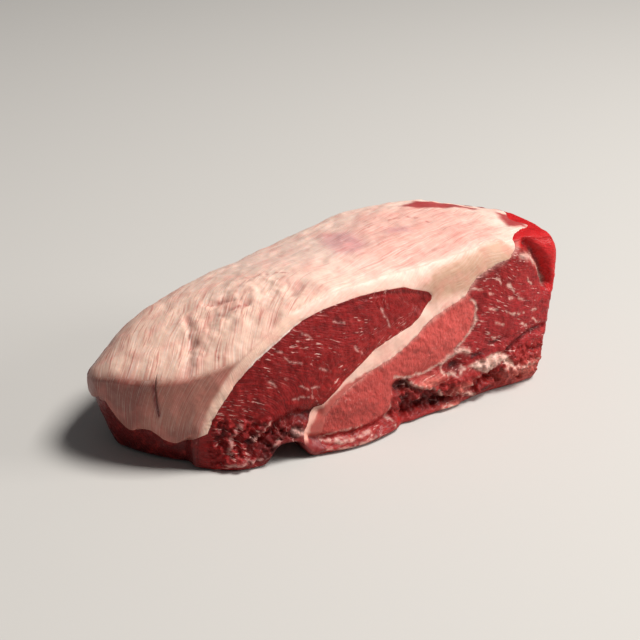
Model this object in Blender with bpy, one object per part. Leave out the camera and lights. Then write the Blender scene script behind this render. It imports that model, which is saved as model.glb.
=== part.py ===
"""A whole boneless beef rump: a long joint cut square along its near side.

A fat cover lies over the top and the left end. A thick seam of the same fat
runs down across the cut face and parts the rump cap from the rump eye.
The joint is one block whose six sides are bent to the form of the meat.
Sizes are in millimetres, and +X runs along the cut face to the right.
"""

import bpy
import bmesh
from math import exp, hypot, sqrt
from mathutils import Vector, noise

MM = 0.001
# Middle of the joint's outline, which becomes the origin, with the board at height 0.
MIDDLE_X = 103.5
MIDDLE_Y = 72.0

# Cells of the block along, across and up.
CELLS = (52, 16, 18)
# Nominal length, depth and height of the block, on which the rounding is reckoned.
BLOCK = (290.0, 150.0, 112.0)
# Rounding of the low and the high side along, across and up.
ROUNDING = ((14.0, 7.0), (8.0, 26.0), (5.0, 12.0))

# The rows below hold one value for each of eight even cuts, left end to right end.
FOOT_X = (-20, 18, 60, 103, 146, 188, 226, 257)
FOOT_Y = (17, -4, -9, -10, -9, -8, -7, -2)
BROW_X = (13, 50, 88, 128, 168, 206, 242, 273)
BROW_Y = (2, 1, 0, 0, 0, 1, 2, 4)
BACK_X = (-73, -32, 15, 62, 110, 160, 213, 257)
BACK_Y = (92, 125, 147, 156, 159, 156, 138, 98)
# Height of the top at a share of the way from the cut face to the back.
TOPS = {
    0.00: (86, 106, 113, 114, 115, 118, 113, 108),
    0.35: (73, 98, 113, 118, 120, 121, 119, 113),
    0.70: (68, 87, 97, 102, 108, 117, 117, 112),
    0.85: (62, 79, 85, 90, 97, 106, 110, 109),
    1.00: (52, 58, 60, 62, 64, 66, 74, 98),
}
# How far the ends bow out: along the cut face's own ends, and across each end of the joint.
CUT_LEFT_BOW = 13.0
CUT_RIGHT_BOW = 5.0
LEFT_BOW_FOOT = 6.0
LEFT_BOW_TOP = 16.0
RIGHT_BOW = 9.0
# Which way the two ends face, as (x, y).
LEFT_FACING = (-0.74, -0.67)
RIGHT_FACING = (0.98, 0.15)
# The back draws in towards the board, more at its two ends.
BACK_TUCK = 12.0
BACK_BELLY = 3.0

# Thickness of the fat cover at the cut face, and behind it.
FAT_AT_CUT = (7, 6, 7, 9, 17, 15, 9, 5)
FAT_BEHIND = (9, 10, 10, 10, 11, 11, 9, 6)
# Where the cover ends: towards the right end, towards the back, and down the left end.
FAT_END_RIGHT = (0.80, 0.86, 0.95, 0.93, 0.95, 0.97, 0.97, 0.95, 0.92, 0.90, 0.88)
FAT_END_BACK = (0.97, 0.95, 0.94, 0.92, 0.90, 0.88, 0.86, 0.80)
FAT_END_LEFT = (0.36, 0.33, 0.26, 0.30, 0.39, 0.40, 0.36, 0.48, 0.68, 0.67, 0.75)
FAT_ON_LEFT = 9.0
# At the cut face's left end the fat is thinner, foot to top.
FAT_AT_CORNER = (2.5, 7.0)
# The lean under the fat of the left end stands back by this much.
LEAN_SET_BACK = 7.0
# Past its ends the lean's envelope lies outside the joint by this much.
OVERSHOOT = 4.0
OVERSHOOT_CUT = 22.0
OVERSHOOT_BACK = 8.0
ENVELOPE_CELLS = (30, 14, 12)
# Gap between pieces.
GAP = 0.3

# Edges of the seam on the cut face, foot to top, as (x, z).
SEAM_UPPER = (
    (38, -15), (40, 12), (42, 20), (51, 29), (63, 40), (80, 52), (100, 64), (115, 70), (135, 75),
    (150, 85), (158, 91), (168, 101), (178, 125),
)
SEAM_LOWER = (
    (45, -15), (47, 8), (56, 17), (60, 30), (70, 39), (85, 46), (100, 51), (120, 57), (137, 66),
    (150, 75), (170, 82), (187, 88), (196, 98), (204, 125),
)
# The seam runs back through the meat in step with the slanting left end.
SEAM_SLANT = -0.5
SEAM_FRONT = -40.0
SEAM_BACK = 190.0
FAR_LEFT = -400
FAR_RIGHT = 500
# Each muscle, the edge of the seam that bounds it, and the side of that edge to leave out.
MUSCLES = (
    ("rump_cap_muscle", SEAM_UPPER, 1),
    ("rump_eye_muscle", SEAM_LOWER, -1),
)

# Swellings (+) and hollows (-) of the cut face: x, z, half width, half height, depth.
SWELLINGS = (
    (68, 72, 42, 20, 3.5),
    (146, 90, 13, 7, -3),
    (160, 58, 26, 15, 3),
    (226, 70, 26, 24, 4),
    (88, 30, 26, 13, 4),
    (88, 1, 38, 12, 9),
    (127, 32, 7, 5, -7),
    (130, 12, 6, 14, -6),
    (148, 11, 18, 7, -10),
    (150, 29, 22, 5, 3),
    (176, 35, 8, 5, -5),
    (181, 20, 10, 8, 4),
    (206, 28, 14, 4, 3),
    (214, 17, 13, 6, -3),
    (240, 16, 16, 7, 3),
    (212, 3, 30, 6, -6),
    (-2, 6, 14, 10, 6),
)
# Grooves of the cut face: depth, half width, then the points it runs through.
GROOVES = (
    (4.0, 4.5, ((57, 33), (45, 29), (30, 24), (16, 18))),
    (4.0, 3.0, ((52, 13), (66, 11), (84, 10), (104, 10), (116, 14))),
    (1.5, 2.5, ((191, 80), (195, 72), (190, 59), (180, 51), (166, 43), (150, 37), (132, 37))),
    (4.0, 3.0, ((262, 42), (250, 42), (240, 40), (230, 35), (222, 31))),
    (8.0, 5.0, ((246, 108), (254, 100), (260, 90), (264, 76))),
    (4.0, 3.5, ((168, 10), (180, 9), (192, 12), (204, 18), (220, 10), (240, 8))),
)
# The gap under the hanging edge of the rump cap: middle, half length, rise and depth back.
VOID_X = 35.0
VOID_HALF = 13.0
VOID_RISE = 15.0
VOID_BACK = 34.0

# Lip of lean that stands out at the right end of the cut face, and its height.
LIP_OUT = 3.0
LIP_Z = 92.0

# Knife slit down the fat of the left end, as shares across and up.
SLIT_TOP = (0.49, 1.0)
SLIT_FOOT = (0.36, 0.58)
SLIT_WIDTH = 3.0
SLIT_DEPTH = 6.0

# Knolls of the surfaces: height and breadth on the fat and on the cut meat.
FAT_KNOLLS = (1.6, 26.0)
FAT_RIPPLES = (0.7, 9.0)
LEAN_KNOLLS = (0.9, 11.0)
BACK_KNOLLS = (3.0, 34.0)
# How far behind the cut face its relief fades out, in its body and at its foot.
RELIEF_FADES = 16.0
FOOT_FADES = 45.0


def clamp(value, low=0.0, high=1.0):
    return min(max(value, low), high)


def step_up(value):
    value = clamp(value)
    return value * value * (3 - 2 * value)


def mix(first, second, share):
    return first + (second - first) * share


def smooth(places, values, at):
    """A smooth curve through the values, read at one place."""
    at = clamp(at, places[0], places[-1])
    i = 0
    while i < len(places) - 2 and at > places[i + 1]:
        i += 1
    gap = places[i + 1] - places[i]
    run = (values[i + 1] - values[i]) / gap
    before = run
    if i > 0:
        before = (values[i + 1] - values[i - 1]) / (places[i + 1] - places[i - 1])
    after = run
    if i < len(places) - 2:
        after = (values[i + 2] - values[i]) / (places[i + 2] - places[i])
    t = (at - places[i]) / gap
    s = 1 - t
    bend = s * (before - run) - t * (after - run)
    return mix(values[i], values[i + 1], t) + gap * t * s * bend


def row(values, share):
    """One of the rows of even cuts, read at a share of its run."""
    last = len(values) - 1
    return smooth([i / last for i in range(last + 1)], values, share)


def rounded(place):
    """The block's point drawn in near edges and corners, so that these are round."""
    near = []
    radii = []
    for share, side, (low, high) in zip(place, BLOCK, ROUNDING):
        radius = low if share < 0.5 else high
        radii.append(radius)
        near.append(max(0.0, 1 - min(share, 1 - share) * side / radius))
    moved = []
    for axis in range(3):
        a, b = (near[other] ** 2 for other in range(3) if other != axis)
        drawn = near[axis] * sqrt(1 - a / 2 - b / 2 + a * b / 3)
        inset = radii[axis] * (1 - drawn) / BLOCK[axis]
        if near[axis] == 0:
            moved.append(place[axis])
        elif place[axis] < 0.5:
            moved.append(inset)
        else:
            moved.append(1 - inset)
    return moved


def height(u, v):
    """Height of the top above the board."""
    return smooth(list(TOPS), [row(values, u) for values in TOPS.values()], v)


def form(u, v, w, thinner=0.0, left_in=0.0):
    """The joint's smooth form: along u, back v and up w, each 0 to 1."""
    left = (1 - u) ** 6
    belly = 4 * w * (1 - w)
    front_x = mix(row(FOOT_X, u), row(BROW_X, u), w)
    front_x += belly * (CUT_RIGHT_BOW * u**6 - CUT_LEFT_BOW * left)
    front_y = mix(row(FOOT_Y, u), row(BROW_Y, u), w)
    tuck = (1 - w) ** 1.5
    back_x = row(BACK_X, u) + BACK_TUCK * tuck * ((1 - u) ** 4 - u**6 / 2)
    back_y = row(BACK_Y, u) - BACK_TUCK * tuck + BACK_BELLY * belly
    x = mix(front_x, back_x, v)
    y = mix(front_y, back_y, v)
    dome = 4 * v * (1 - v)
    left_out = ((LEFT_BOW_FOOT + LEFT_BOW_TOP * w) * dome - left_in) * (1 - u) ** 3
    right_out = RIGHT_BOW * dome * u**4
    x += LEFT_FACING[0] * left_out + RIGHT_FACING[0] * right_out
    y += LEFT_FACING[1] * left_out + RIGHT_FACING[1] * right_out
    return Vector((x, y, w * (height(u, v) - thinner)))


def to_line(x, z, points):
    """Distance from a point of the cut face to a line through points."""
    best = 1e9
    for (ax, az), (bx, bz) in zip(points, points[1:]):
        run = (bx - ax) ** 2 + (bz - az) ** 2
        t = clamp(((x - ax) * (bx - ax) + (z - az) * (bz - az)) / run)
        best = min(best, hypot(x - mix(ax, bx, t), z - mix(az, bz, t)))
    return best


def cut_relief(x, z):
    """How far the cut face stands out at a point."""
    out = 0.0
    for cx, cz, half_width, half_height, depth in SWELLINGS:
        out += depth * exp(-(((x - cx) / half_width) ** 2) - ((z - cz) / half_height) ** 2)
    for depth, half_width, points in GROOVES:
        out -= depth * exp(-((to_line(x, z, points) / half_width) ** 2))
    return out


def left_bare(v, w):
    """1 where the left end has no fat, 0 where it has."""
    return step_up((row(FAT_END_LEFT, v) - w) * BLOCK[2] / 6 + 0.5)


def set_back(v):
    """How far the bare lean of the left end stands back."""
    return LEAN_SET_BACK * step_up((v - 0.05) / 0.12)


def knolls(point, amount):
    """Gentle uneven rises of a given height and breadth."""
    rise, breadth = amount
    return rise * noise.noise(point / breadth)


def surface(place):
    """A point of the joint's surface, with the relief of the meat."""
    u, v, w = rounded(place)
    point = form(u, v, w, left_in=set_back(v) * left_bare(v, w))
    at_cut = exp(-((v * BLOCK[1] / RELIEF_FADES) ** 2))
    point.x += LIP_OUT * at_cut * exp(-(((point.z - LIP_Z) / 24) ** 2)) * u**30
    low = exp(-((v * BLOCK[1] / FOOT_FADES) ** 2)) * (1 - w) ** 2
    out = cut_relief(point.x, point.z)
    on_top = step_up((w - 0.7) / 0.25)
    grain = knolls(point, LEAN_KNOLLS) * (1 - on_top) * step_up(w / 0.1)
    point.y -= out * max(at_cut, low) + grain * at_cut
    point.y += knolls(point, BACK_KNOLLS) * step_up((v - 0.8) / 0.2) * step_up(w / 0.2)
    gap = exp(-(((point.x - VOID_X) / VOID_HALF) ** 4) - (point.y / VOID_BACK) ** 2)
    point.z += VOID_RISE * gap * (1 - w) ** 3
    point.z += on_top * (knolls(point, FAT_KNOLLS) + knolls(point, FAT_RIPPLES))
    return point


def fat_reach(u, v):
    """How far inside the ends of the fat cover a point of the top lies."""
    from_right = (row(FAT_END_RIGHT, v) - u) * BLOCK[0]
    from_back = (row(FAT_END_BACK, u) - v) * BLOCK[1]
    return min(from_right, from_back)


def envelope(place, gap):
    """A point of the lean's envelope: under the fat, and outside the joint elsewhere."""
    u, v, w = (round(share, 6) for share in place)
    covered = step_up(fat_reach(u, v) / 8 + 0.5)
    near_cut = exp(-((v * BLOCK[1] / 30) ** 2))
    thick = mix(row(FAT_BEHIND, u), row(FAT_AT_CUT, u), near_cut)
    thinner = mix(-OVERSHOOT, thick + gap, covered)
    on_left = mix(mix(*FAT_AT_CORNER, w), FAT_ON_LEFT, step_up(v / 0.15))
    left_in = mix(on_left + gap, set_back(v) - 3, left_bare(v, w))
    point = form(u, v, w, thinner=thinner, left_in=left_in)
    if v == 0:
        point.y -= OVERSHOOT_CUT
    if v == 1:
        point.y += OVERSHOOT_BACK
    if u == 1:
        point.x += OVERSHOOT_BACK
    if w == 0:
        point.z -= OVERSHOOT_BACK
    return point


def to_joint(point):
    return ((point.x - MIDDLE_X) * MM, (point.y - MIDDLE_Y) * MM, point.z * MM)


def block_of(cells):
    """A unit block whose edges are cut into cells along each axis."""
    block = bmesh.new()
    bmesh.ops.create_cube(block, size=1.0)
    bmesh.ops.translate(block, verts=block.verts, vec=(0.5, 0.5, 0.5))
    for axis, count in enumerate(cells):
        across = [other for other in range(3) if other != axis]
        edges = [
            edge
            for edge in block.edges
            if all(abs(edge.verts[0].co[a] - edge.verts[1].co[a]) < 1e-6 for a in across)
        ]
        bmesh.ops.subdivide_edges(block, edges=edges, cuts=count - 1, use_grid_fill=True)
    return block


def add_object(name, shape, collection, material=None):
    mesh = bpy.data.meshes.new(name)
    bmesh.ops.triangulate(shape, faces=shape.faces)
    bmesh.ops.recalc_face_normals(shape, faces=shape.faces)
    shape.to_mesh(mesh)
    shape.free()
    made = bpy.data.objects.new(name, mesh)
    collection.objects.link(made)
    if material:
        mesh.materials.append(material)
    else:
        made.hide_render = True
        made.display_type = 'WIRE'
    return made


def whole_joint():
    shape = block_of(CELLS)
    for vert in shape.verts:
        vert.co = to_joint(surface(vert.co))
    return shape


def lean_envelope(gap):
    shape = block_of(ENVELOPE_CELLS)
    for vert in shape.verts:
        vert.co = to_joint(envelope(vert.co, gap))
    return shape


def prism(outline):
    """An outline on the cut face run back through the joint along the seam's slant."""
    shape = bmesh.new()
    verts = []
    for x, z in outline:
        start = Vector((x + SEAM_SLANT * SEAM_FRONT, SEAM_FRONT, z))
        verts.append(shape.verts.new(to_joint(start)))
    face = shape.faces.new(verts)
    run = SEAM_BACK - SEAM_FRONT
    grown = bmesh.ops.extrude_face_region(shape, geom=[face])
    ends = [item for item in grown["geom"] if isinstance(item, bmesh.types.BMVert)]
    bmesh.ops.translate(shape, verts=ends, vec=(SEAM_SLANT * run * MM, run * MM, 0))
    return shape


def beyond_seam(edge, side, gap):
    """All that lies past one edge of the seam: side is +1 to its right, -1 to its left."""
    near = [(x - side * 0.8 * gap, z + side * 0.8 * gap) for x, z in edge]
    far = FAR_RIGHT if side > 0 else FAR_LEFT
    return prism([*near, (far, edge[-1][1]), (far, edge[0][1])])


def slit_blade():
    """A thin wedge along the slit, driven in from the left end."""
    shape = bmesh.new()
    bmesh.ops.create_cone(shape, segments=4, radius1=1, radius2=1, depth=1, cap_ends=True)
    top = form(0, *SLIT_TOP)
    foot = form(0, *SLIT_FOOT)
    along = top - foot
    inward = Vector((-LEFT_FACING[0], -LEFT_FACING[1], 0)).normalized()
    side = along.normalized().cross(inward)
    middle = (top + foot) / 2
    for vert in shape.verts:
        x, y, z = vert.co
        tip = middle + along * z + side * (x * SLIT_WIDTH / 2) + inward * (y * SLIT_DEPTH)
        vert.co = to_joint(tip)
    return shape


def combine(target, other, operation):
    change = target.modifiers.new(f"{operation.title()} {other.name}", 'BOOLEAN')
    change.operation = operation
    change.solver = 'EXACT'
    change.object = other


def muscle_room(name, edge, side, gap, guides):
    """The space one muscle may fill: inside the lean's envelope, on its side of the seam."""
    room = add_object(name, lean_envelope(gap), guides)
    past = add_object(f"{name}_past_seam", beyond_seam(edge, side, gap), guides)
    combine(room, past, 'DIFFERENCE')
    # The cut leaves wide many-sided faces, which lie true only as triangles.
    room.modifiers.new("Triangulate", 'TRIANGULATE')
    return room


def material_of(name, colour, roughness, scatter):
    made = bpy.data.materials.new(name)
    made.use_nodes = True
    shader = made.node_tree.nodes["Principled BSDF"]
    shader.inputs["Base Color"].default_value = (*colour, 1)
    shader.inputs["Roughness"].default_value = roughness
    shader.inputs["Subsurface Weight"].default_value = scatter
    made.diffuse_color = (*colour, 1)
    return made


def clear_scene():
    for old in list(bpy.data.objects):
        bpy.data.objects.remove(old)


def new_collection(name):
    made = bpy.data.collections.new(name)
    bpy.context.scene.collection.children.link(made)
    return made


def build():
    clear_scene()
    rump = new_collection("beef_rump")
    guides = new_collection("cutters")
    fat = material_of("beef_fat", (0.80, 0.60, 0.50), 0.45, 0.2)
    lean = material_of("beef_lean", (0.33, 0.02, 0.02), 0.35, 0.1)

    cover = add_object("fat_cover", whole_joint(), rump, fat)
    for name, edge, side in MUSCLES:
        room = muscle_room(f"room_for_{name}", edge, side, 0.0, guides)
        combine(cover, room, 'DIFFERENCE')
        inside = muscle_room(f"inside_of_{name}", edge, side, GAP, guides)
        muscle = add_object(name, whole_joint(), rump, lean)
        combine(muscle, inside, 'INTERSECT')
    blade = add_object("slit_blade", slit_blade(), guides)
    combine(cover, blade, 'DIFFERENCE')


build()
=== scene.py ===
"""Raw beef rump: a fat cover and two muscles cut from one joint, on a pale studio floor.

Sizes are in millimetres until they reach a mesh. +X runs along the cut face to the right.
"""

import math

import bmesh
import bpy
import numpy as np
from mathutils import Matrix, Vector, kdtree, noise


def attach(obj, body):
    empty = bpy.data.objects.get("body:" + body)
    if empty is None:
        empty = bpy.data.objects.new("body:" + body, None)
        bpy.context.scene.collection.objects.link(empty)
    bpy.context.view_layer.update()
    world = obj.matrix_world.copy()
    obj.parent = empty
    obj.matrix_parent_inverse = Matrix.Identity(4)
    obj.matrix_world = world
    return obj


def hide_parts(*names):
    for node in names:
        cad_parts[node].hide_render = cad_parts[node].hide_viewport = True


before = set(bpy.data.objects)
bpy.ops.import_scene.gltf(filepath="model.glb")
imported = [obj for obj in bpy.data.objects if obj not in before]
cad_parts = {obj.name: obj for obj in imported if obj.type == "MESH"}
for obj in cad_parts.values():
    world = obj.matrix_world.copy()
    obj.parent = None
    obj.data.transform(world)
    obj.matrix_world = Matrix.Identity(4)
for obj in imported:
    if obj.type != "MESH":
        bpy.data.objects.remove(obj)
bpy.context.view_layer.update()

# Fat cover
# The layer of hard white fat over the top and left end of the joint, with the thick seam of
# fat that dips from it between the two muscles. Raw suet-like fat, trimmed with a knife.
# The whole joint is one bent block, and the cover is what the muscles leave of it.
MM = 0.001
MIDDLE = np.array([103.5, 72.0, 0.0])
CELLS = (300, 120, 110)
BLOCK = (290.0, 150.0, 112.0)
ROUNDING = ((14.0, 7.0), (8.0, 26.0), (5.0, 12.0))
FOOT_X = (-20, 18, 60, 103, 146, 188, 226, 257)
FOOT_Y = (17, -4, -9, -10, -9, -8, -7, -2)
BROW_X = (13, 50, 88, 128, 168, 206, 242, 273)
BROW_Y = (2, 1, 0, 0, 0, 1, 2, 4)
BACK_X = (-73, -32, 15, 62, 110, 160, 213, 257)
BACK_Y = (92, 125, 147, 156, 159, 156, 138, 98)
TOPS = {
    0.00: (86, 106, 113, 114, 115, 118, 113, 108),
    0.35: (73, 98, 113, 118, 120, 121, 119, 113),
    0.70: (68, 87, 97, 102, 108, 117, 117, 112),
    0.85: (62, 79, 85, 90, 97, 106, 110, 109),
    1.00: (52, 58, 60, 62, 64, 66, 74, 98),
}
CUT_LEFT_BOW = 13.0
CUT_RIGHT_BOW = 5.0
LEFT_BOW_FOOT = 6.0
LEFT_BOW_TOP = 16.0
RIGHT_BOW = 9.0
LEFT_FACING = (-0.74, -0.67)
RIGHT_FACING = (0.98, 0.15)
BACK_TUCK = 12.0
BACK_BELLY = 3.0
CUT_BOW_SHARP = 6
LEFT_BOW_SHARP = 3
RIGHT_BOW_SHARP = 4
TUCK_SHARP = 1.5
FAT_AT_CUT = (7, 6, 7, 9, 17, 15, 9, 5)
FAT_BEHIND = (9, 10, 10, 10, 11, 11, 9, 6)
FAT_END_RIGHT = (0.80, 0.86, 0.95, 0.93, 0.95, 0.97, 0.97, 0.95, 0.92, 0.90, 0.88)
FAT_END_BACK = (0.97, 0.95, 0.94, 0.92, 0.90, 0.88, 0.86, 0.80)
FAT_END_LEFT = (0.36, 0.33, 0.26, 0.30, 0.39, 0.40, 0.36, 0.48, 0.68, 0.67, 0.75)
FAT_ON_LEFT = 9.0
FAT_AT_CORNER = (2.5, 7.0)
FAT_EDGE_SOFT = 8.0
FAT_THINS_OVER = 30.0
CORNER_REACH = 0.15
LEAN_SET_BACK = 7.0
SET_BACK_RUN = (0.05, 0.12)
BARE_EDGE_SOFT = 6.0
LEAN_SHOWS = 3.0
OVERSHOOT = 4.0
OVERSHOOT_CUT = 22.0
OVERSHOOT_BACK = 8.0
ENVELOPE_CELLS = (120, 60, 50)
# The seam's two sides on the cut face. The seam runs back through the joint on a slant.
SEAM_UPPER = (
    (38, -15), (40, 10), (43, 20), (51, 29.5), (63, 40), (80, 52.5), (100, 64.5), (115, 70.5), (135, 75.5),
    (146, 82), (153, 87), (156.5, 91.5), (154, 95.5), (146, 99), (137, 102.5), (128, 108), (120, 125),
)
SEAM_LOWER = (
    (50, -15), (54, 6), (56, 17), (59, 28), (69, 38.5), (85, 46), (100, 51.5), (120, 57.5), (137, 66.5),
    (150, 75), (170, 81.5), (184, 86.5), (190, 93), (200, 99), (211, 102.5), (224, 105.5), (236, 111),
    (244, 125),
)
SEAM_SLANT = -0.5
SEAM_FRONT = -40.0
SEAM_BACK = 190.0
FAR_LEFT = -400
FAR_RIGHT = 500
WALL_CELL = 2.5
# Each swelling of the cut face: its place, half width, half height and how far it stands out.
SWELLINGS = (
    (68, 72, 42, 20, 3.5),
    (146, 90, 13, 7, -3),
    (160, 58, 26, 15, 3),
    (226, 70, 26, 24, 4),
    (88, 30, 26, 13, 4),
    (88, 1, 38, 12, 9),
    (127, 32, 7, 5, -7),
    (130, 12, 6, 14, -6),
    (148, 11, 18, 7, -10),
    (150, 29, 22, 5, 3),
    (176, 35, 8, 5, -5),
    (181, 20, 10, 8, 4),
    (206, 28, 14, 4, 3),
    (214, 17, 13, 6, -3),
    (240, 16, 16, 7, 3),
    (212, 3, 30, 6, -6),
    (-2, 6, 14, 10, 6),
)
# Each groove of the cut face, or ridge where it is below 0: its depth, half width and line.
GROOVES = (
    (4.0, 4.5, ((57, 33), (45, 29), (30, 24), (16, 18))),
    (4.0, 3.0, ((52, 13), (66, 11), (84, 10), (104, 10), (116, 14))),
    (1.5, 2.5, ((191, 80), (195, 72), (190, 59), (180, 51), (166, 43), (150, 37), (132, 37))),
    (4.0, 3.0, ((262, 42), (250, 42), (240, 40), (230, 35), (222, 31))),
    (8.0, 5.0, ((246, 108), (254, 100), (260, 90), (264, 76))),
    (4.0, 3.5, ((168, 10), (180, 9), (192, 12), (204, 18), (220, 10), (240, 8))),
    (-0.7, 1.2, ((190, 82), (195, 73), (191, 60), (184, 54), (175, 47), (163, 41), (150, 37), (132, 37))),
    (1.3, 1.3, ((58, 8), (75, 5), (95, 5), (112, 8))),
    (1.0, 1.2, ((57, 3), (75, 0), (98, 0))),
    (2.6, 1.8, ((131, 33), (138, 28), (146, 23), (153, 21), (160, 14), (168, 9))),
    (-1.4, 1.5, ((130, 37), (137, 32), (143, 28), (150, 26), (157, 22), (163, 16), (168, 12))),
    (-1.4, 2.0, ((163, 41), (172, 45), (182, 46), (188, 42))),
    (1.2, 1.4, ((166, 38), (165, 33), (170, 28), (178, 28), (185, 33))),
    (1.5, 1.4, ((187, 40), (194, 38), (201, 40))),
    (1.5, 1.5, ((203, 46), (212, 43), (222, 45))),
    (-1.5, 2.0, ((222, 20), (232, 18), (244, 19), (252, 15))),
    (-1.5, 1.8, ((165, 4), (173, 3), (181, 2))),
    (-1.2, 1.5, ((180, 10), (188, 8), (197, 4))),
    (-1.2, 1.6, ((-5, 15), (-2, 25), (3, 33))),
    (-1.4, 1.6, ((12, 22), (18, 27), (22, 33))),
    (-1.2, 1.8, ((-8, 5), (5, 8), (18, 7))),
    (1.6, 1.6, ((5, 12), (9, 22), (12, 30))),
    (
        0.8, 1.4,
        ((0, 62), (5, 69), (18, 81), (30, 89), (47, 98), (70, 102), (105, 104), (138, 100), (155, 93)),
    ),
)
VOID_X = 35.0
VOID_HALF = 13.0
VOID_RISE = 15.0
VOID_BACK = 34.0
LIP_OUT = 3.0
LIP_Z = 92.0
LIP_SPREAD = 24.0
LIP_SHARP = 30
SLIT_TOP = (0.49, 1.0)
SLIT_FOOT = (0.36, 0.58)
SLIT_WIDTH = 3.6
SLIT_DEPTHS = (6.0, 1.5)
BLADE_STANDS_OUT = 6.0
FAT_KNOLLS = (1.6, 26.0)
FAT_RIPPLES = (0.7, 9.0)
LEAN_KNOLLS = (0.9, 11.0)
BACK_KNOLLS = (3.0, 34.0)
TOP_RUN = (0.7, 0.25)
BACK_RUN = (0.8, 0.2)
FLOOR_CALM = 0.1
RELIEF_FADES = 16.0
FOOT_FADES = 45.0
NOISE_SEED = 4


def step_up(value):
    value = np.clip(value, 0.0, 1.0)
    return value * value * (3 - 2 * value)


def mix(first, second, share):
    return first + (second - first) * share


def smooth(places, values, at):
    """A smooth curve through values, read at each point's own place."""
    places = np.asarray(places, float)
    values = np.asarray(values, float)
    if values.ndim == 1:
        values = np.repeat(values[:, None], at.size, axis=1)
    at = np.clip(at, places[0], places[-1])
    last = len(places) - 1
    i = np.clip(np.searchsorted(places, at, side="right") - 1, 0, last - 1)
    every = np.arange(at.size)

    def slope(a, b):
        return (values[b, every] - values[a, every]) / (places[b] - places[a])

    run = slope(i, i + 1)
    before = slope(np.maximum(i - 1, 0), i + 1)
    after = slope(i, np.minimum(i + 2, last))
    gap = places[i + 1] - places[i]
    t = (at - places[i]) / gap
    bend = (1 - t) * (before - run) - t * (after - run)
    return mix(values[i, every], values[i + 1, every], t) + gap * t * (1 - t) * bend


def row(values, share):
    return smooth(np.linspace(0, 1, len(values)), values, share)


def block_of(cells):
    """Corners and squares of a unit block whose sides are cut into cells."""
    squares = []
    for axis in range(3):
        a, b = (axis + 1) % 3, (axis + 2) % 3
        i, j = (grid.ravel() for grid in np.meshgrid(range(cells[a]), range(cells[b])))
        for end in (0, cells[axis]):
            corners = np.zeros((i.size, 4, 3), int)
            corners[..., axis] = end
            turn = ((0, 0), (1, 0), (1, 1), (0, 1)) if end else ((0, 0), (0, 1), (1, 1), (1, 0))
            for corner, (di, dj) in enumerate(turn):
                corners[:, corner, a] = i + di
                corners[:, corner, b] = j + dj
            squares.append(corners)
    squares = np.concatenate(squares)
    flat = squares.reshape(-1, 3)
    key = (flat[:, 0] * 1000 + flat[:, 1]) * 1000 + flat[:, 2]
    _, first, index = np.unique(key, return_index=True, return_inverse=True)
    return flat[first] / np.array(cells), index.reshape(-1, 4)


def rounded(shares):
    """Shares drawn in near edges and corners, so that these are round."""
    near = []
    radii = []
    for axis, (low, high) in enumerate(ROUNDING):
        share = shares[:, axis]
        radius = np.where(share < 0.5, low, high)
        radii.append(radius)
        near.append(np.maximum(0, 1 - np.minimum(share, 1 - share) * BLOCK[axis] / radius))
    moved = []
    for axis in range(3):
        share = shares[:, axis]
        a, b = (near[other] ** 2 for other in range(3) if other != axis)
        drawn = near[axis] * np.sqrt(1 - a / 2 - b / 2 + a * b / 3)
        inset = radii[axis] * (1 - drawn) / BLOCK[axis]
        inside = np.where(share < 0.5, inset, 1 - inset)
        moved.append(np.where(near[axis] == 0, share, inside))
    return moved


def height(u, v):
    return smooth(list(TOPS), np.array([row(values, u) for values in TOPS.values()]), v)


def form(u, v, w, thinner=0.0, left_in=0.0):
    """The joint's smooth form: along u, back v and up w, each 0 to 1."""
    left = (1 - u) ** CUT_BOW_SHARP
    belly = 4 * w * (1 - w)
    front_x = mix(row(FOOT_X, u), row(BROW_X, u), w)
    front_x = front_x + belly * (CUT_RIGHT_BOW * u**CUT_BOW_SHARP - CUT_LEFT_BOW * left)
    front_y = mix(row(FOOT_Y, u), row(BROW_Y, u), w)
    tuck = BACK_TUCK * np.clip(1 - w, 0, 1) ** TUCK_SHARP
    back_x = row(BACK_X, u) + tuck * ((1 - u) ** 4 - u**6 / 2)
    back_y = row(BACK_Y, u) - tuck + BACK_BELLY * belly
    dome = 4 * v * (1 - v)
    left_out = ((LEFT_BOW_FOOT + LEFT_BOW_TOP * w) * dome - left_in) * (1 - u) ** LEFT_BOW_SHARP
    right_out = RIGHT_BOW * dome * u**RIGHT_BOW_SHARP
    x = mix(front_x, back_x, v) + LEFT_FACING[0] * left_out + RIGHT_FACING[0] * right_out
    y = mix(front_y, back_y, v) + LEFT_FACING[1] * left_out + RIGHT_FACING[1] * right_out
    return np.stack([x, y, w * (height(u, v) - thinner)], axis=1)


def along_line(x, z, points):
    """Distance from each place to a line through points, and how far along it that is."""
    best = np.full(x.shape, 1e9)
    along = np.zeros_like(best)
    done = 0.0
    for (ax, az), (bx, bz) in zip(points, points[1:]):
        length = math.hypot(bx - ax, bz - az)
        t = np.clip(((x - ax) * (bx - ax) + (z - az) * (bz - az)) / length**2, 0, 1)
        away = np.hypot(x - mix(ax, bx, t), z - mix(az, bz, t))
        along = np.where(away < best, done + t * length, along)
        best = np.minimum(best, away)
        done += length
    return best, along


def to_line(x, z, points):
    return along_line(x, z, points)[0]


def cut_relief(x, z):
    out = np.zeros_like(x)
    for cx, cz, half_width, half_height, depth in SWELLINGS:
        out += depth * np.exp(-(((x - cx) / half_width) ** 2) - ((z - cz) / half_height) ** 2)
    for depth, half_width, points in GROOVES:
        out -= depth * np.exp(-((to_line(x, z, points) / half_width) ** 2))
    return out


def left_bare(v, w):
    return step_up((row(FAT_END_LEFT, v) - w) * BLOCK[2] / BARE_EDGE_SOFT + 0.5)


def set_back(v):
    return LEAN_SET_BACK * step_up((v - SET_BACK_RUN[0]) / SET_BACK_RUN[1])


noise.seed_set(NOISE_SEED)


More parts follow.
